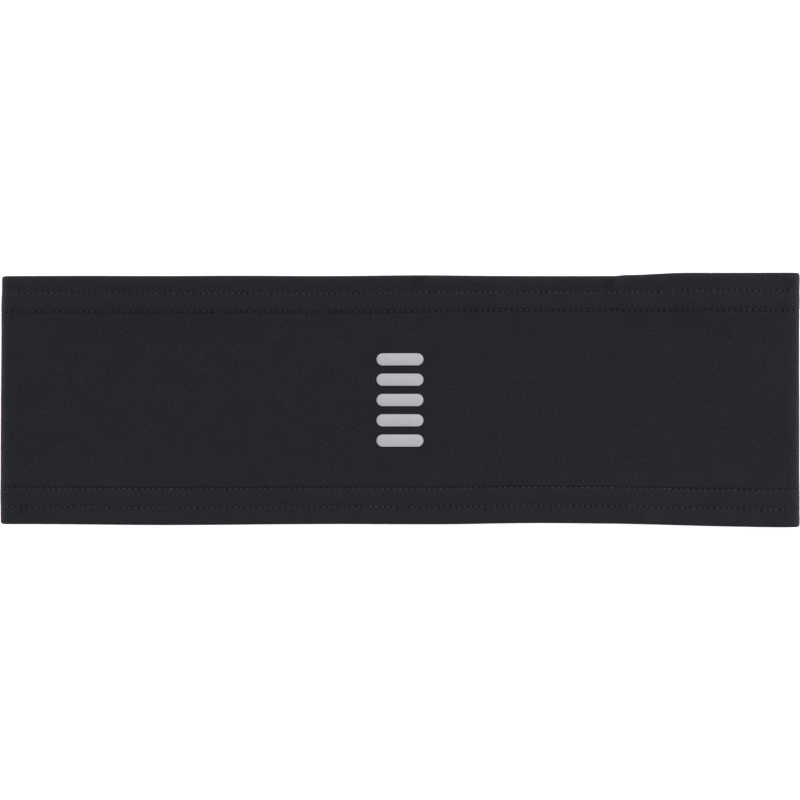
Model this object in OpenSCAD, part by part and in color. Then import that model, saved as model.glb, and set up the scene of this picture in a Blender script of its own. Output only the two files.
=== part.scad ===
// Knitted sports headband, lying flat with its front panel up.
// X runs along the flat width, Y up the height of the band, and Z out of the
// front panel. The origin is the middle of the footprint, on the surface that
// the back layer rests on.

/* [Band] */
// Flat width, from side fold to side fold
band_w = 240; // [200:1:280]
// Height, from hem edge to hem edge
band_h = 75; // [56:1:110]
// Thickness of one layer of the knit
knit_t = 0.7; // [0.5:0.05:1]
// Free height between the front and back hems
slot_gap = 4.4; // [4.2:0.1:10]

/* [Hems] */
// From the hem edge to the outer needle row
edge_row = 5.3; // [3:0.1:8]
// Between the two needle rows of the coverstitch
needle_gauge = 5.6; // [3.2:0.1:6.4]
// How far the turned layer reaches past the inner needle row
raw_margin = 0.9; // [0.7:0.1:3]
// How far the looper thread spreads past each needle row
looper_spread = 0.5; // [0.3:0.1:0.6]

/* [Thread] */
// Width of a needle thread
thread_w = 0.3; // [0.2:0.05:0.5]
// How deep a hem needle thread is drawn into the knit
thread_sink = 0.2; // [0.1:0.05:0.3]
// Thickness of the looper thread on an inner face
looper_t = 0.2; // [0.1:0.05:0.3]

/* [Back seam] */
// Width of the flatlock seam at the centre back
seam_w = 6; // [4:0.5:8]
// Number of needle threads across the seam
seam_needles = 4; // [2:1:4]
// Thickness of the needle threads on the seam's outer face
seam_needle_t = 0.15; // [0.1:0.05:0.2]
// Thickness of the cover thread under those needle threads
seam_cover_t = 0.15; // [0.1:0.05:0.2]
// Gap between the two butted ends of the knit
butt_gap = 0.1; // [0.05:0.05:0.5]

/* [Care label] */
// Length of the free flap, away from the seam
flap_l = 18; // [10:1:40]
// Width of the label, along the seam
label_w = 16; // [10:1:24]
// Thickness of the folded label
label_t = 0.25; // [0.15:0.05:0.4]
// Length of the end that is sewn down
sewn_l = 2.5; // [2:0.1:5]
// Gap between the seam and the label
label_gap = 0.3; // [0.2:0.1:3]
// Gap under the flap, and between the flap and the sewn end
flap_clear = 0.1; // [0.05:0.05:0.3]
// Thickness of the tack thread on the label
tack_t = 0.15; // [0.1:0.05:0.3]
// Bare label past each end of the tack thread
tack_end = 1; // [0.5:0.1:3]

/* [Emblem] */
// Number of bars in the emblem
bar_count = 5; // [1:1:5]
// Length of one bar, across the band
bar_l = 14; // [6:0.5:40]
// Height of one bar
bar_h = 3.6; // [1:0.1:6]
// Gap between neighbouring bars
bar_gap = 2.5; // [0.5:0.1:4]
// Thickness of the reflective film
film_t = 0.1; // [0.05:0.01:0.2]
// Thickness of the hot-melt adhesive under the film
adhesive_t = 0.08; // [0.05:0.01:0.2]

/* [Hidden] */
$fn = 64;

// Heights above the surface, and the side folds
hem_t = 2 * knit_t;
lay_h = 2 * (hem_t + looper_t) + slot_gap;
fold_r = lay_h / 2;
fold_x = band_w / 2 - fold_r;

// Distances from the hem edge
inner_row = edge_row + needle_gauge;
hem_turn = inner_row + raw_margin;

// Back seam and label
seam_recess = seam_needle_t + seam_cover_t;
seam_step = (seam_w - thread_w) / (seam_needles - 1);
looper_h = band_h - 2 * hem_turn;
sewn_x = seam_w / 2 + label_gap;
flap_x = sewn_x + sewn_l;
eps = 0.01;

knit_colour = "#27262b";
turning_colour = "#2b2a2f";
thread_colour = "#1d1c21";
looper_colour = "#232227";
label_colour = "#d9d9dc";
film_colour = "#b3b2b7";
adhesive_colour = "#8f8e93";

// ---- Placing a flat profile on the loop of cloth -------------------------
// A profile's X runs across the band and its Y is the depth under the
// outer face of the cloth.

// Runs a profile along the back layer, from x0 to x1.
module along_back(x0, x1)
    translate([x0, 0, 0])
        rotate([90, 0, 90])
            linear_extrude(x1 - x0)
                children();

// Turns a piece of the back layer over onto the front layer.
module on_front()
    translate([0, 0, lay_h])
        mirror([0, 0, 1])
            children();

// Runs a profile around the right side fold.
module around_right_fold()
    translate([fold_x, 0, fold_r])
        rotate([-90, 0, 0])
            rotate([0, 0, -90])
                rotate_extrude(angle = 180)
                    translate([fold_r, 0])
                        rotate(90)
                            children();

module around_left_fold()
    mirror([1, 0, 0])
        around_right_fold()
            children();

// Runs a profile around the whole loop.
module around_loop() {
    along_back(-fold_x, fold_x) children();
    on_front() along_back(-fold_x, fold_x) children();
    around_right_fold() children();
    around_left_fold() children();
}

// ---- Profiles --------------------------------------------------------------

// What the fold of the top hem leaves of a square corner: the cloth turns
// round half a circle that is two layers deep.
module edge_corner()
    difference() {
        translate([band_h / 2 - knit_t, -eps])
            square([knit_t + eps, hem_t + 2 * eps]);
        translate([band_h / 2 - knit_t, knit_t])
            circle(knit_t);
    }

// A rectangle in the top hem, from two distances under the hem edge.
module hem_strip(near_edge, far_edge, depth, t)
    translate([band_h / 2 - far_edge, depth])
        square([far_edge - near_edge, t]);

module needle_profile(row)
    hem_strip(row - thread_w / 2, row + thread_w / 2, 0, thread_sink);

// The outer layer of cloth, with a groove under each needle row.
module shell_profile()
    difference() {
        translate([-band_h / 2, 0])
            square([band_h, knit_t]);
        for (side = [0, 1])
            mirror([side, 0]) {
                edge_corner();
                needle_profile(edge_row);
                needle_profile(inner_row);
            }
    }

// The layer that is turned in behind the outer one, at the top.
module turning_profile()
    difference() {
        hem_strip(0, hem_turn, knit_t, knit_t);
        edge_corner();
    }

module looper_profile()
    hem_strip(edge_row - looper_spread, inner_row + looper_spread,
              hem_t, looper_t);

// ---- Cloth -----------------------------------------------------------------

module front_panel()
    color(knit_colour)
        on_front()
            along_back(-fold_x, fold_x)
                shell_profile();

// Space for the thread layers that cover the butted ends at the back.
module seam_recess()
    translate([-seam_w / 2, -band_h, -eps])
        cube([seam_w, 2 * band_h, seam_recess + eps]);

module back_panel_right()
    color(knit_colour)
        difference() {
            along_back(butt_gap / 2, fold_x) shell_profile();
            seam_recess();
        }

module back_panel_left()
    color(knit_colour)
        mirror([1, 0, 0])
            back_panel_right();

module right_side_fold()
    color(knit_colour)
        around_right_fold()
            shell_profile();

module left_side_fold()
    color(knit_colour)
        around_left_fold()
            shell_profile();

module top_hem()
    color(turning_colour)
        around_loop()
            turning_profile();

module bottom_hem()
    mirror([0, 1, 0])
        top_hem();

// ---- Hem threads -----------------------------------------------------------

module top_needle_thread(row)
    color(thread_colour)
        around_loop()
            needle_profile(row);

module bottom_needle_thread(row)
    mirror([0, 1, 0])
        top_needle_thread(row);

module top_hem_looper_thread()
    color(looper_colour)
        around_loop()
            looper_profile();

module bottom_hem_looper_thread()
    mirror([0, 1, 0])
        top_hem_looper_thread();

// The hem needle threads cross the seam, and the seam threads stop at them.
module hem_crossings()
    translate([0, 0, -eps])
        for (side = [-1, 1], row = [edge_row, inner_row])
            translate([-seam_w, side * (band_h / 2 - row) - thread_w / 2, 0])
                cube([2 * seam_w, thread_w, thread_sink + eps]);

// ---- Back seam -------------------------------------------------------------

module seam_layer(x0, w, z0, t)
    difference() {
        translate([x0, knit_t - band_h / 2, z0])
            cube([w, band_h - hem_t, t]);
        hem_crossings();
    }

module back_seam_needle_threads()
    color(thread_colour)
        for (i = [0 : seam_needles - 1])
            seam_layer(i * seam_step - seam_w / 2, thread_w,
                       0, seam_needle_t);

module back_seam_cover_thread()
    color(looper_colour)
        seam_layer(-seam_w / 2, seam_w, seam_needle_t, seam_cover_t);

module back_seam_looper_thread()
    color(looper_colour)
        translate([-seam_w / 2, -looper_h / 2, knit_t])
            cube([seam_w, looper_h, looper_t]);

// ---- Care label ------------------------------------------------------------

module care_label_sewn_end()
    color(label_colour)
        translate([sewn_x, -label_w / 2, knit_t])
            cube([sewn_l, label_w, label_t]);

module care_label_tack_thread()
    color(thread_colour)
        translate([sewn_x + (sewn_l - thread_w) / 2,
                   tack_end - label_w / 2, knit_t + label_t])
            cube([thread_w, label_w - 2 * tack_end, tack_t]);

// The flap turns about the end of the sewn part, half way up its thickness.
module care_label_flap()
    color(label_colour)
        translate([flap_x + flap_clear, -label_w / 2, knit_t + flap_clear])
            cube([flap_l, label_w, label_t]);

// ---- Emblem ----------------------------------------------------------------

// Bars with round ends, stacked up the middle of the front panel.
module bars(z, t)
    for (i = [0 : bar_count - 1])
        translate([0, (i - (bar_count - 1) / 2) * (bar_h + bar_gap), z])
            linear_extrude(t) {
                square([bar_l - bar_h, bar_h], center = true);
                for (side = [-1, 1])
                    translate([side * (bar_l - bar_h) / 2, 0])
                        circle(d = bar_h);
            }

module emblem_adhesive()
    color(adhesive_colour)
        bars(lay_h, adhesive_t);

module emblem_film()
    color(film_colour)
        bars(lay_h + adhesive_t, film_t);

front_panel();
back_panel_left();
back_panel_right();
left_side_fold();
right_side_fold();
top_hem();
bottom_hem();
top_needle_thread(edge_row);  // top_hem_edge_row_thread
top_needle_thread(inner_row);  // top_hem_inner_row_thread
top_hem_looper_thread();
bottom_needle_thread(edge_row);  // bottom_hem_edge_row_thread
bottom_needle_thread(inner_row);  // bottom_hem_inner_row_thread
bottom_hem_looper_thread();
back_seam_needle_threads();
back_seam_cover_thread();
back_seam_looper_thread();
care_label_sewn_end();
care_label_tack_thread();
care_label_flap();
emblem_adhesive();
emblem_film();
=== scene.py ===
# Sports headband: a seamed tube of stretch jersey, lying flat with its front up.
# Every sewn piece is made flat, on the open strip of cloth: X runs along the strip
# from the middle of the front, Y up its height, and Z out of its face side. Then
# layOnBand puts it round the loop, where the frame's own pieces are.

import math

import bpy
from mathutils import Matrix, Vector, noise


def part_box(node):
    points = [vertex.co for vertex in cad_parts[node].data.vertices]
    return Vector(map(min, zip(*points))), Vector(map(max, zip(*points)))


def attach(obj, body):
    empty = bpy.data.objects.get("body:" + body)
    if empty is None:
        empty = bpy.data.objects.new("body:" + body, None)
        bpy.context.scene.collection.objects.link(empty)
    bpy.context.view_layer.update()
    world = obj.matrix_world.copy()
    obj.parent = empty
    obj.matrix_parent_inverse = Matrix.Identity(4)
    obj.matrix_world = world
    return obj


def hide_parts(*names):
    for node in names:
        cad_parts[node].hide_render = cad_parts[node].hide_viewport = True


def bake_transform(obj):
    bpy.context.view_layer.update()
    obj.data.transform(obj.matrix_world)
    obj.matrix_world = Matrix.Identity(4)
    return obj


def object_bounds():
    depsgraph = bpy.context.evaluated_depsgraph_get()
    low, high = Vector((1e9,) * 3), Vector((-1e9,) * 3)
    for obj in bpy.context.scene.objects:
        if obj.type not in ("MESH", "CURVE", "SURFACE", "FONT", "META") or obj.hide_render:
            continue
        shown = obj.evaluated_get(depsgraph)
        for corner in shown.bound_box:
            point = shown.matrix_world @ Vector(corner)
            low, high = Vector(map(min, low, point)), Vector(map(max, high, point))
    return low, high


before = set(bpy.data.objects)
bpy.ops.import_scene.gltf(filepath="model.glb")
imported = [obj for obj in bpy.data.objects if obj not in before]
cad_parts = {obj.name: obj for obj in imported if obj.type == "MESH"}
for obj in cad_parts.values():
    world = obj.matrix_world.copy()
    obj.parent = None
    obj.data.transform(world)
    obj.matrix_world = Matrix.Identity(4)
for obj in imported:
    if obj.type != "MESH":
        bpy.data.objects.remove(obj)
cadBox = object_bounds()
mm = 0.001
print("frame loaded,", len(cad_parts), "nodes")


def smooth(low, high, value):
    # 0 below low, 1 above high, and a soft S between them
    t = min(max((value - low) / (high - low), 0), 1)
    return t * t * (3 - 2 * t)


def deselectAll():
    if bpy.context.object and bpy.context.object.mode != "OBJECT":
        bpy.ops.object.mode_set(mode="OBJECT")
    bpy.ops.object.select_all(action="DESELECT")


def pickOnly(piece):
    deselectAll()
    piece.select_set(True)
    bpy.context.view_layer.objects.active = piece


def selectPoints(piece, test):
    # leaves the piece in edit mode with the points that pass the test selected
    pickOnly(piece)
    bpy.ops.object.mode_set(mode="EDIT")
    bpy.ops.mesh.select_mode(type="VERT")
    bpy.ops.mesh.select_all(action="DESELECT")
    bpy.ops.object.mode_set(mode="OBJECT")
    for point in piece.data.vertices:
        point.select = test(point.co)
    bpy.ops.object.mode_set(mode="EDIT")


def applyPlace(piece):
    pickOnly(piece)
    bpy.ops.object.transform_apply(location=True, rotation=True, scale=True)


def applyModifier(piece, kind, **settings):
    pickOnly(piece)
    modifier = piece.modifiers.new(kind.lower(), kind)
    for key, value in settings.items():
        setattr(modifier, key, value)
    bpy.ops.object.modifier_apply(modifier=modifier.name)


def smoothShade(piece, angle):
    pickOnly(piece)
    bpy.ops.object.shade_smooth_by_angle(angle=math.radians(angle))


def facesOutward(piece):
    pickOnly(piece)
    bpy.ops.object.mode_set(mode="EDIT")
    bpy.ops.mesh.select_all(action="SELECT")
    bpy.ops.mesh.normals_make_consistent(inside=False)
    bpy.ops.object.mode_set(mode="OBJECT")


def finishPiece(piece, material, angle, slot, *nodes):
    # one material, soft shading, and the CAD nodes that the piece stands for
    piece.data.materials.clear()
    piece.data.materials.append(material)
    smoothShade(piece, angle)
    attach(piece, "band")
    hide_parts(*nodes)


# the loop of cloth, from the frame
frontLow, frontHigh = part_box("front_panel")
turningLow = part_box("top_hem")[0]
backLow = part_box("back_panel_right")[0]
edgeRowLow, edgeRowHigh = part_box("top_hem_edge_row_thread")
innerRowLow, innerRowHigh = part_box("top_hem_inner_row_thread")
seamLow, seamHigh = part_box("back_seam_needle_threads")

thickness = frontHigh.z - frontLow.z
halfHeight = frontHigh.y
foldX = frontHigh.x                       # where the flat layers end and the side folds start
middleZ = (frontHigh.z + backLow.z) / 2
foldRadius = (frontHigh.z - backLow.z - thickness) / 2   # to the middle of the cloth
foldArc = math.pi * foldRadius
loopLength = 4 * foldX + 2 * foldArc
turnEnd = turningLow.y                    # the raw edge of the turned layer
edgeRow = (edgeRowLow.y + edgeRowHigh.y) / 2
innerRow = (innerRowLow.y + innerRowHigh.y) / 2

drape = {
    "sag": 1.9 * mm,              # the front layer sinks this far between the side folds
    "sagReach": 32 * mm,          # and takes this long to get there,
    "hemReach": 50 * mm,          # or this long along the stiffer hems,
    "hemStart": 14 * mm,          # whose stiffness is felt from this far up the band
    "hemFull": 36 * mm,
    "hemSpare": 0.25,             # the hems sag less by this share
    "middleRise": 0.96,           # share of the sag that the middle is spared, over the seam and label
    "middleWidth": 38 * mm,
    "hemRipple": 0.35 * mm,       # the hems, a little stretched by their stitching, wave,
    "rippleFrom": (20 * mm, 37 * mm),     # from none to all of it between these heights,
    "topTurn": (11.6 * mm, 0.9),  # each with its own length for one radian, and start
    "bottomTurn": (13.4 * mm, 2.2),
    "backLift": 1.2,              # the back layer's hems lift by this times the ripple,
    "backFrom": (22 * mm, 37 * mm),       # from none to all of it between these
    "hemStep": 0.13 * mm,         # the cloth steps down at the inner row, more so at the top,
    "topStep": 0.08 * mm,
    "hemSlope": 0.18 * mm,        # and goes on sinking where the turned layer has ended
    "hemPuff": 0.1 * mm,          # the hem swells between its stitch rows
    "edgePuff": 0.28 * mm,        # and towards its folded edge, which is full
    "edgeFall": 0.3 * mm,         # and rolls over,
    "puffFrom": (0.08, 0.74),     # from none to all of it between these shares of the way from
    "fallFrom": (0.78, 1.12),     # the outer row to the edge
    "wave": 0.45 * mm,            # slow waves of the resting front
    "waveLength": 44 * mm,        # their size along the band
    "waveHeight": 0.8 * (44 * mm),        # and up it
    "ripple": 0.1 * mm,           # and the small ones on them
    "rippleLength": 15 * mm,
    "calm": (-4 * mm, 14 * mm),   # both fade over this stretch, measured in from a side fold
    "lessTurned": 0.65 * mm,      # the rows shift this far where less cloth was turned in
    "flatten": 0.14,              # the loop lies this much flatter at its side folds,
    "flattenReach": 22 * mm,      # from this far in
    "dent": 0.55 * mm,            # but for a soft dent at the right one,
    "dentPlace": (107 * mm, -5 * mm),
    "dentReach": (8 * mm, 9 * mm),
    "roundPlace": -6 * mm,        # beside which that side fold isn't flattened
    "roundReach": 8 * mm,
    "spread": 0.2 * mm,           # the side folds lie this far out,
    "spreadFrom": (90 * mm, 116 * mm),
    "lean": 0.55 * mm,            # and the left one's upper end lies further in
    "leanFrom": (60 * mm, 119 * mm),
}

# where the hem edges leave a straight line: shifts that stay past a stretch of X (from, to, how
# far), soft bumps (middle, reach, how far), and the place of their small waves in the noise
edgeLine = {
    "top": {"rest": -0.22 * mm, "steps": [(64 * mm, 68 * mm, 0.3 * mm), (67 * mm, 87 * mm, 0.7 * mm)],
            "bumps": [(7 * mm, 12 * mm, 0.15 * mm)], "noisePlace": 2.7},
    "bottom": {"rest": 0.17 * mm, "steps": [(62 * mm, 116 * mm, -0.95 * mm)],
               "bumps": [(-68 * mm, 22 * mm, -0.25 * mm), (42 * mm, 24 * mm, 0.3 * mm)],
               "noisePlace": 9.1},
    "wave": 0.12 * mm,
    "wavesPerMetre": 32,
    "behind": 0.25 * mm,          # the back layer's edges stay this far inside the front's
}

# tucks (below 0) and the soft ridges beside them: x, y, angle, length, width and height, in mm
creases = [
    (5.5, 34.8, 47, 2.6, 0.85, -1.3),
    (3.2, 31.4, 55, 4.8, 2.0, -0.5),
    (8.2, 33.8, 47, 3.4, 1.4, 0.4),
    (62.6, 34.1, 68, 1.6, 0.85, -1.3),
    (60.6, 31.0, 64, 4.2, 2.0, -0.45),
    (65.0, 33.8, 60, 3.8, 1.5, 0.38),
    (71.0, 35.6, 24, 6.0, 1.4, 0.2),
    (115.4, 32.8, 60, 2.6, 0.95, -0.75),
    (112.6, 31.6, 55, 4.5, 1.4, 0.3),
    (-113.1, -33.9, 45, 2.4, 0.9, -1.0),
    (-110.8, -34.2, 48, 4.0, 1.3, 0.3),
    (-114.5, 32.0, -50, 3.5, 1.3, -0.3),
    (111.0, -33.0, -42, 4.5, 1.3, 0.24),
]


def loopPlace(along):
    # place and outward direction of the middle of the cloth, in the XZ plane
    side = 1 if along >= 0 else -1
    way = abs(along)
    if way <= foldX:
        return side * way, middleZ + foldRadius, 0, 1
    if way <= foldX + foldArc:
        turn = (way - foldX) / foldRadius
        x = foldX + foldRadius * math.sin(turn)
        return side * x, middleZ + foldRadius * math.cos(turn), side * math.sin(turn), math.cos(turn)
    return side * (2 * foldX + foldArc - way), middleZ - foldRadius, 0, -1


def edgeShift(x, y, front):
    # the hem edges aren't ruler straight: both flare to the right
    line = edgeLine["top" if y >= 0 else "bottom"]
    shift = line["rest"]
    for start, end, amount in line["steps"]:
        shift += amount * smooth(start, end, x)
    for centre, reach, amount in line["bumps"]:
        shift += amount * math.exp(-(((x - centre) / reach) ** 2))
    place = Vector((x * edgeLine["wavesPerMetre"], line["noisePlace"], front))
    shift += edgeLine["wave"] * noise.noise(place)
    # the back layer's edges stay out of sight behind the front's
    behind = min(shift, 0) if y >= 0 else max(shift, 0)
    behind -= math.copysign(edgeLine["behind"], y)
    shift = behind + (shift - behind) * smooth(0.05, 0.75, front)
    return shift * smooth(5 * mm, halfHeight - 0.5 * mm, abs(y))


def turnShift(x, y):
    # where a little less cloth was turned in, both rows run nearer to the top edge
    less = smooth(-4 * mm, 34 * mm, x) * (1 - smooth(60 * mm, 76 * mm, x))
    return drape["lessTurned"] * less * math.exp(-(((y - innerRow) / (7 * mm)) ** 2))


def outwardSwell(x, y, front):
    # how far the cloth stands out of its flat layer, along its own outward direction
    step = drape["hemStep"] + (drape["topStep"] if y > 0 else 0)
    swell = -step * (1 - smooth(innerRow - 0.5 * mm, innerRow + 0.15 * mm, abs(y)))
    swell -= drape["hemSlope"] * (1 - smooth(turnEnd - 4 * mm, turnEnd, abs(y)))
    between = math.sin(math.pi * min(max((abs(y) - innerRow) / (edgeRow - innerRow), 0), 1))
    past = (abs(y) - edgeRow) / (halfHeight - edgeRow)
    swell += drape["hemPuff"] * (between - 1) + drape["edgePuff"] * smooth(*drape["puffFrom"], past)
    swell -= drape["edgeFall"] * smooth(*drape["fallFrom"], past)
    for cx, cy, angle, length, width, height in creases:
        dx, dy = x / mm - cx, y / mm - cy
        if abs(dx) < 18 and abs(dy) < 18:
            c, s = math.cos(math.radians(angle)), math.sin(math.radians(angle))
            run, over = dx * c + dy * s, dy * c - dx * s
            swell += height * mm * math.exp(-((run / length) ** 2) - (over / width) ** 2)
    (dentX, dentY), (reachX, reachY) = drape["dentPlace"], drape["dentReach"]
    swell -= drape["dent"] * math.exp(-(((x - dentX) / reachX) ** 2) - ((y - dentY) / reachY) ** 2)
    return swell * front * front


def layOnBand(point):
    # from the flat strip to the loop as it lies
    x, z, outX, outZ = loopPlace(point[0])
    front = 0.5 + 0.5 * outZ
    y = point[1]
    swell = outwardSwell(x, y, front)
    lift = point[2] + swell
    px = x + outX * lift
    pz = z + outZ * lift
    py = y + edgeShift(x, y, front) + turnShift(x, y)
    atHem = smooth(drape["hemStart"], drape["hemFull"], abs(y))
    inward = foldX - abs(x)               # how far this is from the nearer side fold
    reach = drape["sagReach"] + (drape["hemReach"] - drape["sagReach"]) * atHem
    spared = drape["middleRise"] * math.exp(-((x / drape["middleWidth"]) ** 2))
    sag = drape["sag"] * smooth(-3 * mm, reach, inward) * (1 - spared) * (1 - drape["hemSpare"] * atHem)
    wave = noise.noise(Vector((x / drape["waveLength"], y / drape["waveHeight"], 3.1)))
    ripple = noise.noise(Vector((x / drape["rippleLength"], y / drape["rippleLength"], 7.7)))
    calm = smooth(*drape["calm"], inward)
    radian, start = drape["topTurn"] if y > 0 else drape["bottomTurn"]
    turn = x / radian + start
    hemWave = drape["hemRipple"] * math.sin(turn) * smooth(*drape["rippleFrom"], abs(y))
    pz += front * front * calm * (drape["wave"] * wave + drape["ripple"] * ripple + hemWave)
    pz -= front * front * sag
    # the back layer rests on the surface, and only its hems lift off a little
    lifted = drape["backLift"] * drape["hemRipple"] * max(0, math.sin(1.3 * turn + 1))
    lifted *= smooth(*drape["backFrom"], abs(y))
    pz += (1 - front) ** 2 * calm * lifted
    # near its side folds the loop lies flatter, but not beside the dent
    byDent = math.exp(-(((y - drape["roundPlace"]) / drape["roundReach"]) ** 2)) if x > 0 else 0
    pz *= 1 - drape["flatten"] * (1 - byDent) * smooth(foldX - drape["flattenReach"], foldX + 2 * mm, abs(x))
    # the side folds lie a little out, and the left one leans
    px += math.copysign(drape["spread"], x) * smooth(*drape["spreadFrom"], abs(x))
    lean = 0.5 * smooth(-20 * mm, 36 * mm, y) + 0.5 * smooth(24 * mm, 38 * mm, y)
    lean += 0.3 * smooth(26 * mm, 40 * mm, -y)
    px += drape["lean"] * lean * smooth(*drape["leanFrom"], -x)
    return Vector((px, py, max(pz, 0)))


def wrap(piece):
    for point in piece.data.vertices:
        point.co = layOnBand(point.co)
    piece.data.update()


def linear(code):
    # an sRGB hex value as the linear colour that a shader takes
    values = [int(code[i:i + 2], 16) / 255 for i in (1, 3, 5)]
    return [v / 12.92 if v <= 0.04045 else ((v + 0.055) / 1.055) ** 2.4 for v in values] + [1]


def addNode(material, kind, settings=None, links=None):
    # settings set the node's own properties, links its inputs: a value or another node's output
    node = material.node_tree.nodes.new(kind)
    for key, value in (settings or {}).items():
        setattr(node, key, value)
    for key, value in (links or {}).items():
        if isinstance(value, bpy.types.NodeSocket):
            material.node_tree.links.new(value, node.inputs[key])
        else:
            node.inputs[key].default_value = value
    return node


def newMaterial(name):
    material = bpy.data.materials.new(name)
    material.use_nodes = True
    material.node_tree.nodes.clear()
    return material


def finishMaterial(material, shader):
    addNode(material, "ShaderNodeOutputMaterial", None, {"Surface": shader.outputs[0]})
    return material


knit = {
    "colour": "#0f0e13",           # near-black yarn with a cool cast
    "paleYarn": "#232229",         # the lighter filaments in its melange
    "wale": 0.62 * mm,             # one column of loops, drawn a third wider than a 24-gauge knit's
    "course": 0.5 * mm,            # one row of loops
    "melange": 0.7 * mm,           # length of a light or dark fleck
    "cloud": 9 * mm,               # slow patches, a little paler or darker
    "cloudShare": 0.38,
    "loopShare": 0.07,             # how much the loops themselves show in the colour
    "lintApart": 7 * mm,           # between stray pale fibres
    "lint": 0.7,
    "roughness": 0.82,
    "roughChange": 0.12,           # it changes this much from fleck to fleck
    "bump": 0.05 * mm,
    "holeHalfLength": 0.5 * mm,    # the painted shade round a needle hole, along its row
    "holeHalfWidth": 0.38 * mm,    # and across it
    "rowHalfWidth": 0.6 * mm,      # the shaded valley along an inner row
    "rowOffset": 0.2 * mm,         # it lies at the foot of the hem, just inside the row
    "rowShade": 0.46,
    "holeWander": 1.1 * mm,        # holes stray by up to a third of this
    "wanderApart": 1.7 * mm,       # and each on its own
    "pullApart": 4 * mm,           # a few stitches in a row are pulled tighter, with deeper holes and darker painted shade in them
    "edgeReach": 4 * mm,           # a painted sheen makes the cloth paler this far from the folded edge
    "paintedEdgeSheen": 0.2,
    "paintedHemSheen": 0.07,               # and a painted sheen makes the whole hem a little paler
}

stitches = {
    "pitch": 1.76 * mm,          # one stitch of the hems
    "threadRadius": 0.14 * mm,
    "looperRadius": 0.1 * mm,
    "needleDepth": 0.75 * mm,    # how far a needle thread goes down into its hole
    "looperPast": 0.35 * mm,     # the looper thread turns back this far past the rows
    "looperTurn": 0.2 * mm,      # and takes this much of the way for the turn
    "innerGroove": 0.2 * mm,     # how deep the inner row pulls the cloth in, at the foot of the hem
    "hole": 0.14 * mm,           # how much deeper it is at each needle hole, of both rows
    "grooveHalf": 0.45 * mm,     # half the width of a groove
    "foldGroove": 0.25,          # how much of a groove is left round the side folds
    "seamPress": 0.24 * mm,      # how deep the back seam's threads lie in the cloth
}
stitchCount = round(loopLength / stitches["pitch"])
pitch = loopLength / stitchCount


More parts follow.
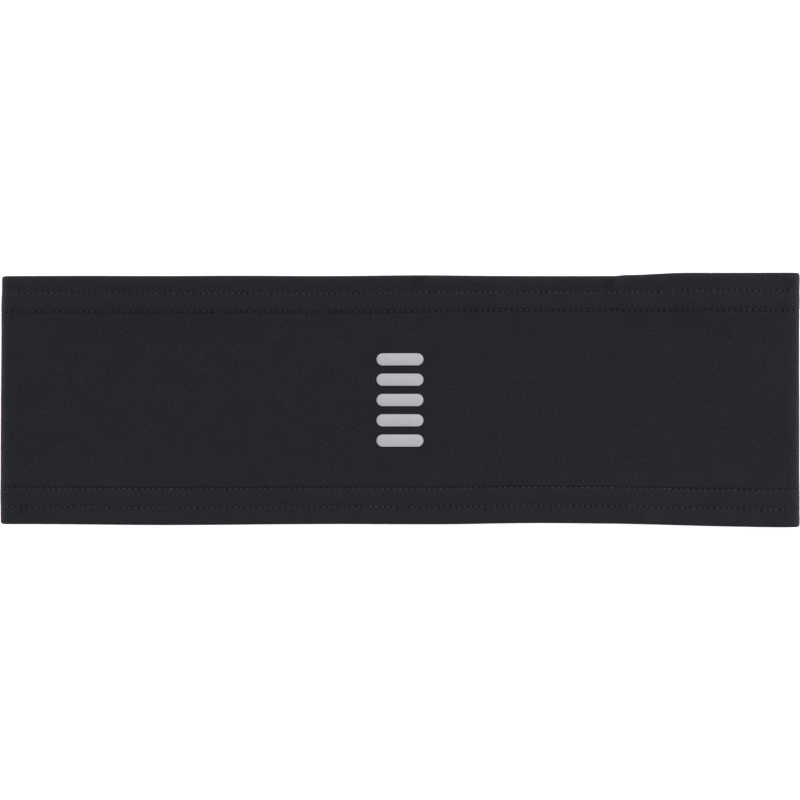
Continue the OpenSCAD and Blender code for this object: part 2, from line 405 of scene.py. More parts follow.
def knitMaterial():
    # Polyester-elastane jersey, knitted and left matt: fine columns of V-shaped loops,
    # a soft fleck from uneven filaments, and a faint pale bloom at grazing angles
    m = newMaterial("polyesterElastaneJersey")
    place = addNode(m, "ShaderNodeUVMap", {"uv_map": "strip"})
    parts = addNode(m, "ShaderNodeSeparateXYZ", None, {"Vector": place.outputs[0]})
    fleck = addNode(m, "ShaderNodeTexNoise", None,
                    {"Vector": place.outputs[0], "Scale": 1 / knit["melange"], "Detail": 3.0,
                     "Roughness": 0.62, "Distortion": 0.3})
    cloud = addNode(m, "ShaderNodeTexNoise", None,
                    {"Vector": place.outputs[0], "Scale": 1 / knit["cloud"], "Detail": 4.0,
                     "Roughness": 0.62})
    lint = addNode(m, "ShaderNodeTexVoronoi", {"feature": "F1"},
                   {"Vector": place.outputs[0], "Scale": 1 / knit["lintApart"], "Randomness": 1.0})
    pull = addNode(m, "ShaderNodeTexNoise", None,
                   {"Vector": place.outputs[0], "Scale": 1 / knit["pullApart"], "Detail": 1.0})
    wander = addNode(m, "ShaderNodeTexNoise", None,
                     {"Vector": place.outputs[0], "Scale": 1 / knit["wanderApart"], "Detail": 1.0})
    stray = addNode(m, "ShaderNodeSeparateXYZ", None, {"Vector": wander.outputs["Color"]})

    value = {"x": parts.outputs["X"], "y": parts.outputs["Y"], "fleck": fleck.outputs[0],
             "cloud": cloud.outputs[0], "lint": lint.outputs["Distance"], "pull": pull.outputs[0],
             "strayX": stray.outputs["Y"], "strayY": stray.outputs["X"]}
    ramps = {"RAMP": {"clamp": True}, "SOFT_RAMP": {"clamp": True, "interpolation_type": "SMOOTHSTEP"}}
    # the pattern, step by step: a name, what is done, and to which numbers or earlier steps.
    # A ramp goes from the first pair of its numbers to the second
    steps = [
        # V-shaped loops: the height within a course depends on how far the wale's middle is
        ("wale", "DIVIDE", "x", knit["wale"]),
        ("course", "DIVIDE", "y", knit["course"]),
        ("leg", "PINGPONG", "wale", 0.5),
        ("legSlant", "MULTIPLY", "leg", 1.2),
        ("slanted", "ADD", "course", "legSlant"),
        ("courseTurn", "MULTIPLY", "slanted", 2 * math.pi),
        ("loopHeight", "SINE", "courseTurn"),
        ("waleTurn", "MULTIPLY", "leg", 2 * math.pi),
        ("column", "SINE", "waleTurn"),
        ("columnHeight", "MULTIPLY", "column", 0.7),
        ("loops", "MULTIPLY_ADD", "loopHeight", 0.3, "columnHeight"),

        # how pale the yarn is: flecks, clouds, loops and lint, and a painted sheen near the folded edge and
        # over the hems
        ("fleckPale", "RAMP", "fleck", 0.3, 0.72, 0.0, 0.82),
        ("cloudPale", "SUBTRACT", "cloud", 0.5),
        ("withCloud", "MULTIPLY_ADD", "cloudPale", knit["cloudShare"], "fleckPale"),
        ("withLoops", "MULTIPLY_ADD", "loops", knit["loopShare"], "withCloud"),
        ("lintPale", "RAMP", "lint", 0.02, 0.045, knit["lint"], 0.0),
        ("withLint", "ADD", "withLoops", "lintPale"),
        ("height", "ABSOLUTE", "y"),
        # painted sheen: the cloth is made paler towards the folded edge
        ("paintedEdgeSheen", "SOFT_RAMP", "height", halfHeight - knit["edgeReach"], halfHeight,
         0.0, knit["paintedEdgeSheen"]),
        # painted sheen: the whole hem a little paler, added to the edge's painted sheen
        ("inHem", "GREATER_THAN", "height", innerRow),
        ("paintedHemSheen", "MULTIPLY_ADD", "inHem", knit["paintedHemSheen"], "paintedEdgeSheen"),
        ("pale", "ADD", "withLint", "paintedHemSheen"),

        # painted shade at the needle holes, half a stitch apart on the two hems
        ("strayHeight", "SUBTRACT", "strayY", 0.5),
        ("holeHeight", "MULTIPLY_ADD", "strayHeight", knit["holeWander"], "height"),
        ("pastEdgeRow", "SUBTRACT", "holeHeight", edgeRow),
        ("toEdgeRow", "ABSOLUTE", "pastEdgeRow"),
        ("pastInnerRow", "SUBTRACT", "holeHeight", innerRow),
        ("toInnerRow", "ABSOLUTE", "pastInnerRow"),
        ("across", "MINIMUM", "toEdgeRow", "toInnerRow"),
        ("strayAlong", "SUBTRACT", "strayX", 0.5),
        ("along", "MULTIPLY_ADD", "strayAlong", 1.6 * knit["holeWander"], "x"),
        ("fromEnd", "ADD", "along", loopLength / 2),
        ("inStitches", "DIVIDE", "fromEnd", pitch),
        ("lowerHem", "LESS_THAN", "y", 0.0),
        ("shifted", "MULTIPLY_ADD", "lowerHem", 0.5, "inStitches"),
        ("toHole", "PINGPONG", "shifted", 0.5),
        ("alongRow", "MULTIPLY", "toHole", pitch),
        ("ovalX", "DIVIDE", "alongRow", knit["holeHalfLength"]),
        ("ovalY", "DIVIDE", "across", knit["holeHalfWidth"]),
        ("squareX", "MULTIPLY", "ovalX", "ovalX"),
        ("squares", "MULTIPLY_ADD", "ovalY", "ovalY", "squareX"),
        ("oval", "SQRT", "squares"),
        ("tight", "RAMP", "pull", 0.38, 0.56, 0.5, 1.0),
        ("hole", "SOFT_RAMP", "oval", 0.5, 1.15, 1.0, 0.0),
        # painted shade in the holes, darker where the stitches are pulled tight
        ("pit", "MULTIPLY", "hole", "tight"),

        # painted shade in the valley at the foot of a hem
        ("pastValley", "ADD", "pastInnerRow", knit["rowOffset"]),
        ("toValley", "ABSOLUTE", "pastValley"),
        ("valley", "SOFT_RAMP", "toValley", 0.15 * mm, knit["rowHalfWidth"], knit["rowShade"], 0.0),
        ("dark", "MAXIMUM", "pit", "valley"),
        ("shade", "SUBTRACT", 1.0, "dark"),

        # and how rough the yarn is, and its relief
        ("rough", "MULTIPLY_ADD", "fleck", knit["roughChange"],
         knit["roughness"] - knit["roughChange"] / 2),
        ("relief", "MULTIPLY_ADD", "fleck", 0.6, "loops"),
    ]
    for name, action, *inputs in steps:
        kind = "ShaderNodeMapRange" if action in ramps else "ShaderNodeMath"
        links = {i: value.get(number, number) for i, number in enumerate(inputs)}
        value[name] = addNode(m, kind, ramps.get(action, {"operation": action}), links).outputs[0]

    yarn = addNode(m, "ShaderNodeMix", {"data_type": "RGBA", "clamp_factor": True},
                   {0: value["pale"], 6: linear(knit["colour"]), 7: linear(knit["paleYarn"])})
    darkened = addNode(m, "ShaderNodeVectorMath", {"operation": "SCALE"},
                       {0: yarn.outputs[2], "Scale": value["shade"]})
    bump = addNode(m, "ShaderNodeBump", None,
                   {"Strength": 0.55, "Distance": knit["bump"], "Height": value["relief"]})
    shader = addNode(m, "ShaderNodeBsdfPrincipled", None,
                     {"Base Color": darkened.outputs[0], "Roughness": value["rough"],
                      "Normal": bump.outputs[0], "Specular IOR Level": 0.2, "Sheen Weight": 0.12,
                      "Sheen Roughness": 0.5, "Sheen Tint": linear("#b8b8c4")})
    return finishMaterial(m, shader)


def threadMaterial(name, dark, pale, roughness):
    # Spun polyester sewing thread: two plies twisted together, so a fine grain of light and dark, and painted
    # highlights in scattered spots along it
    m = newMaterial(name)
    place = addNode(m, "ShaderNodeTexCoord")
    grain = addNode(m, "ShaderNodeTexNoise", None,
                    {"Vector": place.outputs["Object"], "Scale": 1 / (0.5 * mm), "Detail": 2.0})
    stray = addNode(m, "ShaderNodeTexNoise", None,
                    {"Vector": place.outputs["Object"], "Scale": 1 / (2.2 * mm), "Detail": 2.0})
    # painted highlights: where the slow stray noise runs high, the grain is pushed towards the pale colour
    shine = addNode(m, "ShaderNodeMapRange", {"clamp": True},
                    {"Value": stray.outputs[0], "From Min": 0.5, "From Max": 0.7,
                     "To Min": 0.35, "To Max": 1.3})
    amount = addNode(m, "ShaderNodeMath", {"operation": "MULTIPLY", "use_clamp": True},
                     {0: grain.outputs[0], 1: shine.outputs[0]})
    mix = addNode(m, "ShaderNodeMix", {"data_type": "RGBA"},
                  {0: amount.outputs[0], 6: linear(dark), 7: linear(pale)})
    bump = addNode(m, "ShaderNodeBump", None,
                   {"Strength": 0.5, "Distance": 0.03 * mm, "Height": grain.outputs[0]})
    shader = addNode(m, "ShaderNodeBsdfPrincipled", None,
                     {"Base Color": mix.outputs[2], "Roughness": roughness, "Normal": bump.outputs[0],
                      "Specular IOR Level": 0.3, "Sheen Weight": 0.1, "Sheen Roughness": 0.4})
    return finishMaterial(m, shader)


def filmMaterial():
    # Reflective heat-transfer film: grey layer of tiny glass beads, matt off the light's axis
    m = newMaterial("glassBeadFilm")
    place = addNode(m, "ShaderNodeTexCoord")
    beads = addNode(m, "ShaderNodeTexNoise", None,
                    {"Vector": place.outputs["Object"], "Scale": 1 / (0.55 * mm), "Detail": 1.5})
    patch = addNode(m, "ShaderNodeTexNoise", None,
                    {"Vector": place.outputs["Object"], "Scale": 1 / (1.6 * mm), "Detail": 2.0})
    blend = addNode(m, "ShaderNodeMath", {"operation": "MULTIPLY_ADD"},
                    {0: patch.outputs[0], 1: 0.5, 2: beads.outputs[0]})
    amount = addNode(m, "ShaderNodeMapRange", {"clamp": True},
                     {"Value": blend.outputs[0], "From Min": 0.5, "From Max": 1.0})
    mix = addNode(m, "ShaderNodeMix", {"data_type": "RGBA"},
                  {0: amount.outputs[0], 6: linear("#b1b0b6"), 7: linear("#bab9bf")})
    bump = addNode(m, "ShaderNodeBump", None,
                   {"Strength": 0.12, "Distance": 0.03 * mm, "Height": beads.outputs[0]})
    shader = addNode(m, "ShaderNodeBsdfPrincipled", None,
                     {"Base Color": mix.outputs[2], "Roughness": 0.55, "Normal": bump.outputs[0],
                      "Specular IOR Level": 0.4})
    return finishMaterial(m, shader)


def adhesiveMaterial():
    # Polyurethane hot melt, pressed thin: greyish, a little glossy at its edge
    m = newMaterial("hotMeltAdhesive")
    place = addNode(m, "ShaderNodeTexCoord")
    flow = addNode(m, "ShaderNodeTexNoise", None,
                   {"Vector": place.outputs["Object"], "Scale": 1 / (0.8 * mm), "Detail": 2.0})
    mix = addNode(m, "ShaderNodeMix", {"data_type": "RGBA"},
                  {0: flow.outputs[0], 6: linear("#4c4b50"), 7: linear("#6a696e")})
    shader = addNode(m, "ShaderNodeBsdfPrincipled", None,
                     {"Base Color": mix.outputs[2], "Roughness": 0.35})
    return finishMaterial(m, shader)


label = {
    "ribbon": 0.1 * mm,          # thickness of the ribbon
    "firstRow": 0.8 * mm,        # from its sewn end to its first row of points
    "loop": 0.22 * mm,           # radius of its fold at the free end,
    "loopLift": 0.06 * mm,       # which stands this far above the rest
    "puff": 0.04 * mm,           # the upper half stands off the lower by up to this, near the fold
    "loopSteps": 8,
    "acrossSteps": 8,
    "curl": 0.16 * mm,           # how far the free end waves up,
    "curlRadian": 4.2 * mm,      # with this length for one radian, and start
    "curlStart": 0.6,
    "rib": 0.45 * mm,            # between the slanting ribs of its satin, twice a real one
}


def satinMaterial():
    # Woven satin ribbon: long floats along it give a soft shine and a fine slanting rib
    m = newMaterial("polyesterSatinRibbon")
    place = addNode(m, "ShaderNodeTexCoord")
    turned = addNode(m, "ShaderNodeMapping", None,
                     {"Vector": place.outputs["Object"], "Rotation": (0, 0, math.radians(20))})
    # at scale 1, this texture repeats every 0.314
    rib = addNode(m, "ShaderNodeTexWave", {"wave_type": "BANDS", "bands_direction": "Y"},
                  {"Vector": turned.outputs[0], "Scale": 0.314 / label["rib"], "Distortion": 0.4,
                   "Detail": 1.0})
    mix = addNode(m, "ShaderNodeMix", {"data_type": "RGBA"},
                  {0: rib.outputs[0], 6: linear("#bcbcc1"), 7: linear("#dcdce0")})
    bump = addNode(m, "ShaderNodeBump", None,
                   {"Strength": 0.3, "Distance": 0.02 * mm, "Height": rib.outputs[0]})
    shader = addNode(m, "ShaderNodeBsdfPrincipled", None,
                     {"Base Color": mix.outputs[2], "Roughness": 0.42, "Normal": bump.outputs[0],
                      "Specular IOR Level": 0.5, "Sheen Weight": 0.1})
    return finishMaterial(m, shader)


knitCloth = knitMaterial()
needleYarn = threadMaterial("spunPolyesterThread", "#17161b", "#47464e", 0.6)
looperYarn = threadMaterial("texturedPolyesterThread", "#1a191e", "#302f35", 0.7)
beadFilm = filmMaterial()
hotMelt = adhesiveMaterial()
satin = satinMaterial()
print("materials ready")


section = {
    "gap": 0.16 * mm,           # between the two layers of a hem, inside
    "middleSteps": 12,          # from the middle of the band to the hem's step
    "innerSteps": 4,            # from there to the inner row's groove
    "betweenSteps": 6,          # between the two rows, and from the outer one to the fold
    "turnSteps": 7,             # round the folded edge
    "stepReach": 2 * mm,        # the hem's step starts this far before the raw edge
}


def faceSide():
    # points of the upper half of the strip's face side, from its middle to the raw edge,
    # as height on the band and lift over the middle of the cloth
    outer = thickness / 2
    near = stitches["grooveHalf"]
    centre = halfHeight - thickness
    low = turnEnd - section["stepReach"]
    points = [(low * i / section["middleSteps"], outer) for i in range(section["middleSteps"] + 1)]
    steps = section["innerSteps"]
    points += [(low + (innerRow - near - low) * i / steps, outer) for i in range(1, steps)]
    steps = section["betweenSteps"]
    for row, nextStop in ((innerRow, edgeRow - near), (edgeRow, centre)):
        points += [(row + near * k, outer) for k in (-1, -0.5, 0, 0.5, 1)]
        points += [(row + near + (nextStop - row - near) * i / steps, outer) for i in range(1, steps)]
    for i in range(section["turnSteps"] + 1):
        turn = math.pi * i / section["turnSteps"]
        points.append((centre + thickness * math.sin(turn), outer - thickness + thickness * math.cos(turn)))
    inner = outer - 2 * thickness
    for y in (0.25, 0.5):
        points.append((centre + (edgeRow - centre) * y, inner))
    stops = (edgeRow, (edgeRow * 2 + innerRow) / 3, (edgeRow + innerRow * 2) / 3, innerRow, turnEnd)
    points += [(y, inner) for y in stops]
    return points


def wrongSide():
    # the hidden side, from the raw edge round the inside of the fold, and back to the middle
    centre = halfHeight - thickness
    seamZ = -thickness / 2
    half = section["gap"] / 2
    points = [(y, seamZ - half) for y in (turnEnd, innerRow, edgeRow, centre)]
    points += [(centre + half, seamZ)]
    points += [(y, seamZ + half) for y in (centre, edgeRow, innerRow, turnEnd)]
    low = turnEnd - section["stepReach"]
    points += [(y, seamZ) for y in (turnEnd - section["stepReach"] / 2, low, low * 0.66, low * 0.33)]
    return points


def makeCloth():
    upperFace, upperWrong = faceSide(), wrongSide()
    # once round the section: up the face side, back down the wrong side
    ring = [(-y, z) for y, z in reversed(upperFace[1:])] + upperFace
    ring += upperWrong + [(0, -thickness / 2)] + [(-y, z) for y, z in reversed(upperWrong)]
    faceCount = 2 * len(upperFace) - 1

    columns = [-loopLength / 2 + pitch / 2 * i for i in range(2 * stitchCount + 1)]
    seamGap = backLow.x                       # half the gap between the butted ends
    columns[0] += seamGap
    columns[-1] -= seamGap

    # way along the section, for the pattern of the knit
    ways, way = [0], 0
    for (y0, z0), (y1, z1) in zip(ring, ring[1:]):
        way += math.hypot(y1 - y0, z1 - z0)
        ways.append(way)
    middle = ways[faceCount // 2]
    total = ways[faceCount - 1]

    mesh = bpy.data.meshes.new("jerseyStrip")
    places = []
    near = stitches["grooveHalf"]
    for j, along in enumerate(columns):
        # round the side folds the cloth is pulled tight, so the grooves are shallow
        atFold = 1 - abs(loopPlace(along)[3])
        # the flatlock seam presses the cloth in under its threads
        fromSeam = loopLength / 2 - abs(along)
        pressed = stitches["seamPress"] * (1 - smooth(seamHigh.x - 0.2 * mm, seamHigh.x + 0.9 * mm, fromSeam))
        for i, (y, z) in enumerate(ring):
            if i < faceCount:
                # the needles go in at every other column, half a stitch apart top and bottom
                atHole = (j % 2 == 0) if y > 0 else (j % 2 == 1)
                for row in (edgeRow, innerRow):
                    nearRow = max(0, 1 - abs(abs(y) - row) / near)
                    if nearRow > 0:
                        depth = stitches["innerGroove"] if row == innerRow else 0
                        depth += stitches["hole"] if atHole else 0
                        depth *= 1 - (1 - stitches["foldGroove"]) * atFold
                        z -= math.copysign(depth * nearRow, z + thickness / 2)
                if z > 0:
                    z -= pressed
            places.append(layOnBand((along, y, z)))
    count = len(ring)
    faces = []
    for j in range(len(columns) - 1):
        for i in range(count):
            a, b = j * count + i, j * count + (i + 1) % count
            faces.append((a, a + count, b + count, b))
    faces.append(tuple(range(count)))
    last = (len(columns) - 1) * count
    faces.append(tuple(reversed(range(last, last + count))))
    mesh.from_pydata(places, [], faces)

    strip = mesh.uv_layers.new(name="strip")
    across = [w - middle for w in ways[:faceCount]]
    across += [middle - (w - total) * (total / (ways[-1] - total)) for w in ways[faceCount:]]
    for face in mesh.polygons:
        for corner in face.loop_indices:
            j, i = divmod(mesh.loops[corner].vertex_index, count)
            strip.data[corner].uv = (columns[j], across[i])
    mesh.validate()
    cloth = bpy.data.objects.new("jerseyBand", mesh)
    bpy.context.collection.objects.link(cloth)
    facesOutward(cloth)
    finishPiece(cloth, knitCloth, 60, "knit", "front_panel", "back_panel_left", "back_panel_right",
                "left_side_fold", "right_side_fold", "top_hem", "bottom_hem")
    return cloth


cloth = makeCloth()
print("cloth:", len(cloth.data.vertices), "points")


def sewRun(name, path, radius, copies, step, sides=1):
    # one stitch as a chain of points, repeated by an array and drawn out into a round thread
    deselectAll()
    bpy.ops.mesh.primitive_plane_add(size=mm)
    run = bpy.context.object
    run.name = name
    bpy.ops.object.mode_set(mode="EDIT")
    bpy.ops.mesh.select_all(action="SELECT")
    bpy.ops.mesh.merge(type="CENTER")
    bpy.ops.transform.translate(value=path[0])
    for here, there in zip(path, path[1:]):
        offset = [b - a for a, b in zip(here, there)]
        bpy.ops.mesh.extrude_region_move(TRANSFORM_OT_translate={"value": offset})
    bpy.ops.object.mode_set(mode="OBJECT")
    if copies > 1:
        applyModifier(run, "ARRAY", count=copies, use_relative_offset=False, use_constant_offset=True,
                      constant_offset_displace=step, use_merge_vertices=True, merge_threshold=1e-6)
    pickOnly(run)
    bpy.ops.object.convert(target="CURVE")
    run = bpy.context.object
    run.data.bevel_depth = radius
    run.data.bevel_resolution = sides
    run.data.use_fill_caps = True
    run.data.resolution_u = 1
    bpy.ops.object.convert(target="MESH")
    run = bpy.context.object
    run.name = name
    return run


def joinPieces(name, pieces):
    pickOnly(pieces[0])
    for piece in pieces:
        piece.select_set(True)
    if len(pieces) > 1:
        bpy.ops.object.join()
    pieces[0].name = name
    pieces[0].data.name = name
    return pieces[0]


def finishThread(thread, material, slot, node):
    applyPlace(thread)
    finishPiece(thread, material, 80, slot, node)


def needleRow(name, y, phase, node):
    # over the cloth from hole to hole, and down through both layers at each
    r = stitches["threadRadius"]
    # the inner row's thread lies deeper, in its groove
    top = thickness / 2 - (1.5 if abs(y) == innerRow else 0.5) * r
    start = -loopLength / 2 + phase
    deep = thickness / 2 - stitches["needleDepth"]
    shape = ((0, deep), (0.13, top - 0.38 * mm), (0.25, top - 0.1 * mm), (0.38, top), (0.62, top),
             (0.75, top - 0.1 * mm), (0.87, top - 0.38 * mm), (1, deep))
    path = [(start + pitch * a, y, z) for a, z in shape]
    copies = stitchCount if phase == 0 else stitchCount - 1
    row = sewRun(name, path, r, copies, (pitch, 0, 0))
    wrap(row)
    finishThread(row, needleYarn, "needle_thread", node)


def looperRow(name, side, node):
    # on the inside, from row to row and back in every stitch, over the raw edge
    r, past, turn = stitches["looperRadius"], stitches["looperPast"], stitches["looperTurn"]
    z = thickness / 2 - 2 * thickness - r
    runs = []
    for start in (0, pitch / 2):
        low, high = innerRow - past, edgeRow + past
        shape = ((0, low), (0.1, low + turn), (0.4, high - turn), (0.5, high),
                 (0.6, high - turn), (0.9, low + turn), (1, low))
        path = [(start - loopLength / 2 + pitch * a, side * y, z) for a, y in shape]
        runs.append(sewRun(name, path, r, stitchCount - 1, (pitch, 0, 0), 0))
    row = joinPieces(name, runs)
    wrap(row)
    finishThread(row, looperYarn, "looper_thread", node)


needleRow("topHemEdgeRowThread", edgeRow, 0, "top_hem_edge_row_thread")
needleRow("topHemInnerRowThread", innerRow, 0, "top_hem_inner_row_thread")
needleRow("bottomHemEdgeRowThread", -edgeRow, pitch / 2, "bottom_hem_edge_row_thread")
needleRow("bottomHemInnerRowThread", -innerRow, pitch / 2, "bottom_hem_inner_row_thread")
looperRow("topHemLooperThread", 1, "top_hem_looper_thread")
looperRow("bottomHemLooperThread", -1, "bottom_hem_looper_thread")
print("hem threads sewn")


seam = {
    "width": seamHigh.x - seamLow.x,
    "needles": 4,
    "pitch": 2.0 * mm,
    "needleRadius": 0.13 * mm,
    "coverRadius": 0.11 * mm,
    "end": 0.5 * mm,             # bare cloth past the last stitch
}
seamAlong = loopLength / 2        # where the strip's ends meet
seamCount = round((seamHigh.y - seamLow.y - 2 * seam["end"]) / seam["pitch"])
seamPitch = (seamHigh.y - seamLow.y - 2 * seam["end"]) / seamCount
seamStart = seamLow.y + seam["end"]


def seamNeedles():
    r = seam["needleRadius"]
    top = thickness / 2 - r
    runs = []
    for i in range(seam["needles"]):
        x = seamAlong + (i / (seam["needles"] - 1) - 0.5) * (seam["width"] - 2 * r)
        shape = ((0, top - 0.3 * mm), (0.12, top - 0.1 * mm), (0.3, top), (0.7, top),
                 (0.88, top - 0.1 * mm), (1, top - 0.3 * mm))
        path = [(x, seamStart + seamPitch * a, z) for a, z in shape]
        runs.append(sewRun("seamNeedle", path, r, seamCount, (0, seamPitch, 0)))
    row = joinPieces("backSeamNeedleThreads", runs)
    wrap(row)
    finishThread(row, needleYarn, "needle_thread", "back_seam_needle_threads")


def seamCover():
    # crosses the seam and back in every stitch, under the needle threads
    r = seam["coverRadius"]
    z = thickness / 2 - 0.1 * mm - r
    half = seam["width"] / 2 - r
    shape = ((-half, 0), (-half * 0.4, 0.2), (half * 0.4, 0.4), (half, 0.5),
             (half * 0.4, 0.6), (-half * 0.4, 0.9), (-half, 1))
    path = [(seamAlong + x, seamStart + seamPitch * a, z) for x, a in shape]
    row = sewRun("backSeamCoverThread", path, r, seamCount, (0, seamPitch, 0))
    wrap(row)
    finishThread(row, looperYarn, "looper_thread", "back_seam_cover_thread")


def seamLooper():
    low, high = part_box("back_seam_looper_thread")
    r = seam["coverRadius"]
    z = -thickness / 2 - r
    half = (high.x - low.x) / 2 - r
    count = round((high.y - low.y) / seamPitch)
    step = (high.y - low.y - 2 * r) / count
    runs = []
    for side in (-1, 1):
        shape = ((-half, 0), (half * 0.2, 0.35), (half, 0.5), (half * 0.2, 0.65), (-half, 1))
        path = [(seamAlong + side * x, low.y + r + step * a, z) for x, a in shape]
        runs.append(sewRun("seamLooper", path, r, count, (0, step, 0), 0))
    row = joinPieces("backSeamLooperThread", runs)
    wrap(row)
    finishThread(row, looperYarn, "looper_thread", "back_seam_looper_thread")


seamNeedles()
seamCover()
seamLooper()
print("back seam sewn")


filmLow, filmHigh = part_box("emblem_film")
glueLow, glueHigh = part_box("emblem_adhesive")
emblem = {
    "bars": 5,                     # plain ones with round ends
    "barHeight": 3.6 * mm,
    "glueMargin": 0.06 * mm,       # the hot melt squeezes out this far round the film
    "edgeRound": 0.03 * mm,
    "cuts": 6,                     # this many each side of the middle, a millimetre apart
}


def makeBars(name, margin, low, high, material, slot, node):
    height = emblem["barHeight"] + 2 * margin
    width = filmHigh.x - filmLow.x + 2 * margin
    step = (filmHigh.y - filmLow.y - emblem["barHeight"]) / (emblem["bars"] - 1)
    bars = []
    for i in range(emblem["bars"]):
        deselectAll()
        y = filmLow.y + emblem["barHeight"] / 2 + step * i
        bpy.ops.mesh.primitive_plane_add(size=1, location=(0, y, low))
        bar = bpy.context.object
        bar.scale = (width, height, 1)
        applyPlace(bar)
        bpy.ops.object.mode_set(mode="EDIT")
        bpy.ops.mesh.select_all(action="SELECT")
        bpy.ops.mesh.bevel(affect="VERTICES", offset=height / 2 * 0.999, segments=10)
        bpy.ops.mesh.select_all(action="SELECT")
        bpy.ops.mesh.extrude_region_move(TRANSFORM_OT_translate={"value": (0, 0, high - low)})
        bpy.ops.mesh.bevel(affect="EDGES", offset=emblem["edgeRound"], segments=2)
        # cut across, so that the bar bends with the cloth
        for cut in range(-emblem["cuts"], emblem["cuts"] + 1):
            bpy.ops.mesh.select_all(action="SELECT")
            bpy.ops.mesh.bisect(plane_co=(cut * mm, y, low), plane_no=(1, 0, 0))
        bpy.ops.mesh.select_all(action="SELECT")
        bpy.ops.mesh.normals_make_consistent(inside=False)
        bpy.ops.object.mode_set(mode="OBJECT")
        bars.append(bar)
    piece = joinPieces(name, bars)
    applyPlace(piece)
    wrap(piece)
    finishPiece(piece, material, 40, slot, node)


clothTop = frontHigh.z - thickness / 2      # the middle of the front layer, where lift is 0
makeBars("emblemAdhesive", emblem["glueMargin"], glueLow.z - clothTop - 0.02 * mm, glueHigh.z - clothTop,
         hotMelt, "hot_melt_adhesive", "emblem_adhesive")
makeBars("emblemFilm", 0, filmLow.z - clothTop, filmHigh.z - clothTop,
         beadFilm, "reflective_film", "emblem_film")
print("emblem pressed on")


sewnLow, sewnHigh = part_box("care_label_sewn_end")
flapLow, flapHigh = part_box("care_label_flap")
tackLow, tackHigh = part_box("care_label_tack_thread")


def makeLabel():
    low, high = sewnLow.z + label["ribbon"] / 2, sewnHigh.z - label["ribbon"] / 2
    gap = flapLow.z - sewnLow.z
    tip, r = flapHigh.x - label["loop"], label["loop"]
    path = [(sewnLow.x, low), (sewnLow.x + label["firstRow"], low), (sewnHigh.x, low)]
    run = flapHigh.x - sewnHigh.x
    stops = (0.05, 0.1, 0.2, 0.35, 0.5, 0.65, 0.8)
    path += [(sewnHigh.x + run * a, low + gap * min(1, a * 4)) for a in stops]
    centre = (low + high) / 2 + gap + label["loopLift"]
    for i in range(label["loopSteps"] + 1):
        turn = -math.pi / 2 + math.pi * i / label["loopSteps"]
        path.append((tip + r * math.cos(turn), centre + r * math.sin(turn)))
    path += [(sewnHigh.x + run * a, high + gap * min(1, a * 4) + label["puff"] * a)
             for a in reversed(stops)]
    path += [(sewnHigh.x, high), (sewnLow.x + label["firstRow"], high), (sewnLow.x, high)]
    deselectAll()
    bpy.ops.mesh.primitive_plane_add(size=1)
    ribbon = bpy.context.object
    ribbon.name = "careLabel"
    # the plane's left edge becomes the ribbon's end, across the band
    selectPoints(ribbon, lambda co: co.x > 0)
    bpy.ops.mesh.delete(type="VERT")
    width = sewnHigh.y - sewnLow.y
    selectPoints(ribbon, lambda co: True)
    bpy.ops.transform.resize(value=(1, width, 1), center_override=(0, 0, 0))
    bpy.ops.transform.translate(value=(path[0][0] + 0.5, 0, path[0][1]))
    for (x0, z0), (x1, z1) in zip(path, path[1:]):
        bpy.ops.mesh.extrude_region_move(TRANSFORM_OT_translate={"value": (x1 - x0, 0, z1 - z0)})
    # cuts across the width, so that it can wave
    for i in range(1, label["acrossSteps"]):
        bpy.ops.mesh.select_all(action="SELECT")
        y = sewnLow.y + width * i / label["acrossSteps"]
        bpy.ops.mesh.bisect(plane_co=(0, y, 0), plane_no=(0, 1, 0))
    bpy.ops.object.mode_set(mode="OBJECT")
    applyModifier(ribbon, "SOLIDIFY", thickness=label["ribbon"] * 0.95, offset=0, use_even_offset=True)
    applyPlace(ribbon)
    for point in ribbon.data.vertices:
        free = smooth(sewnHigh.x, flapHigh.x, point.co.x)
        turn = point.co.y / label["curlRadian"] + label["curlStart"]
        point.co.z += label["curl"] * free * (0.5 + 0.5 * math.sin(turn))
    facesOutward(ribbon)
    ribbon.data.materials.append(satin)
    smoothShade(ribbon, 60)
    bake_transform(ribbon)
    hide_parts("care_label_sewn_end", "care_label_flap")
    return ribbon


def makeTack():
    r = 0.07 * mm
    stitch = 1.4 * mm
    count = round((tackHigh.y - tackLow.y) / stitch)
    step = (tackHigh.y - tackLow.y) / count
    x, z = (tackLow.x + tackHigh.x) / 2, sewnHigh.z
    shape = ((0, -0.12 * mm), (0.15, 0.03 * mm), (0.35, r), (0.65, r), (0.85, 0.03 * mm), (1, -0.12 * mm))
    path = [(x, tackLow.y + step * a, z + h) for a, h in shape]
    tack = sewRun("careLabelTackThread", path, r, count, (0, step, 0))
    finishThread(tack, needleYarn, "needle_thread", "care_label_tack_thread")
    return tack


ribbon = makeLabel()
tack = makeTack()
print("care label folded and tacked")


studio = {
    "floorSize": 6,
    "cameraHeight": 1.6,           # over the band, looking straight down
    "frameWidth": 239.9 * mm,      # how much of the floor's width the camera takes in
    "sensor": 36,
    "floorGlow": 0.65,             # keeps the board white to its edge
    "wallGlow": 0.92,
    "worldLight": 0.15,
}


def makeFloor():
    deselectAll()
    bpy.ops.mesh.primitive_plane_add(size=studio["floorSize"], location=(0, 0, -0.05 * mm))
    floor = bpy.context.object
    floor.name = "paleFloor"
    m = newMaterial("matteWhiteBoard")
    shader = addNode(m, "ShaderNodeBsdfPrincipled", None,
                     {"Base Color": (0.9, 0.9, 0.9, 1), "Roughness": 0.9,
                      "Emission Color": (1, 1, 1, 1), "Emission Strength": studio["floorGlow"]})
    finishMaterial(m, shader)
    floor.data.materials.append(m)


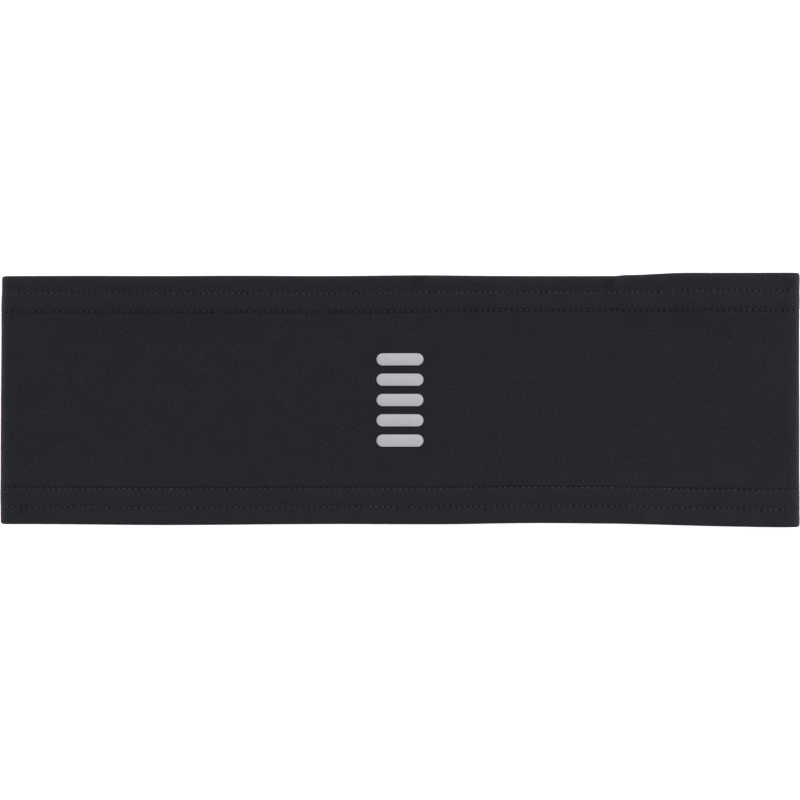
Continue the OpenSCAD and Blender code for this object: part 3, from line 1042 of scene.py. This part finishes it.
def makeBackdrop():
    # a pale wall round the floor's edge, which the camera sees and the lights don't
    deselectAll()
    radius = studio["floorSize"] / 2
    bpy.ops.mesh.primitive_cylinder_add(radius=radius, depth=radius, vertices=96, end_fill_type="NOTHING",
                                        location=(0, 0, radius / 2 - mm))
    wall = bpy.context.object
    wall.name = "paleBackdrop"
    m = newMaterial("matteWhitePaper")
    shader = addNode(m, "ShaderNodeBsdfPrincipled", None,
                     {"Base Color": (0, 0, 0, 1), "Roughness": 1.0, "Specular IOR Level": 0.0,
                      "Emission Color": (1, 1, 1, 1), "Emission Strength": studio["wallGlow"]})
    finishMaterial(m, shader)
    wall.data.materials.append(m)
    wall.visible_diffuse = wall.visible_glossy = wall.visible_shadow = wall.visible_transmission = False


def addSoftbox(name, place, size, power):
    # a lamp of this size and power in watts, which shines on the middle of the floor
    deselectAll()
    bpy.ops.object.light_add(type="AREA", location=place)
    lamp = bpy.context.object
    lamp.name = name
    lamp.data.shape = "RECTANGLE"
    lamp.data.size, lamp.data.size_y = size
    lamp.data.energy = power
    lamp.rotation_euler = (-Vector(place)).to_track_quat("-Z", "Y").to_euler()
    lamp.visible_camera = False


makeFloor()
makeBackdrop()
addSoftbox("keySoftbox", (0.4, 1.6, 0.8), (1.6, 0.7), 24.2)
addSoftbox("overheadSoftbox", (0.3, -0.7, 1.3), (1.2, 1.0), 2.6)
addSoftbox("frontSoftbox", (0.1, -0.55, 0.35), (0.6, 0.3), 1.5)
addSoftbox("rightSoftbox", (0.55, 0.25, 0.35), (0.4, 0.3), 2.2)
addSoftbox("leftSoftbox", (-0.65, 0, 0.25), (0.3, 0.4), 2)

world = bpy.data.worlds.new("paleStudio")
bpy.context.scene.world = world
world.use_nodes = True
world.node_tree.nodes["Background"].inputs["Color"].default_value = (1, 1, 1, 1)
world.node_tree.nodes["Background"].inputs["Strength"].default_value = studio["worldLight"]

deselectAll()
middle = (cadBox[0] + cadBox[1]) / 2
bpy.ops.object.camera_add(location=(middle.x, middle.y, cadBox[1].z + studio["cameraHeight"]),
                          rotation=(0, 0, 0))
camera = bpy.context.object
camera.data.sensor_width = studio["sensor"]
camera.data.lens = studio["sensor"] * studio["cameraHeight"] / studio["frameWidth"]
camera.data.clip_start, camera.data.clip_end = 0.05, 20
scene = bpy.context.scene
scene.camera = camera
scene.view_settings.view_transform = "Standard"
scene.view_settings.look = "None"
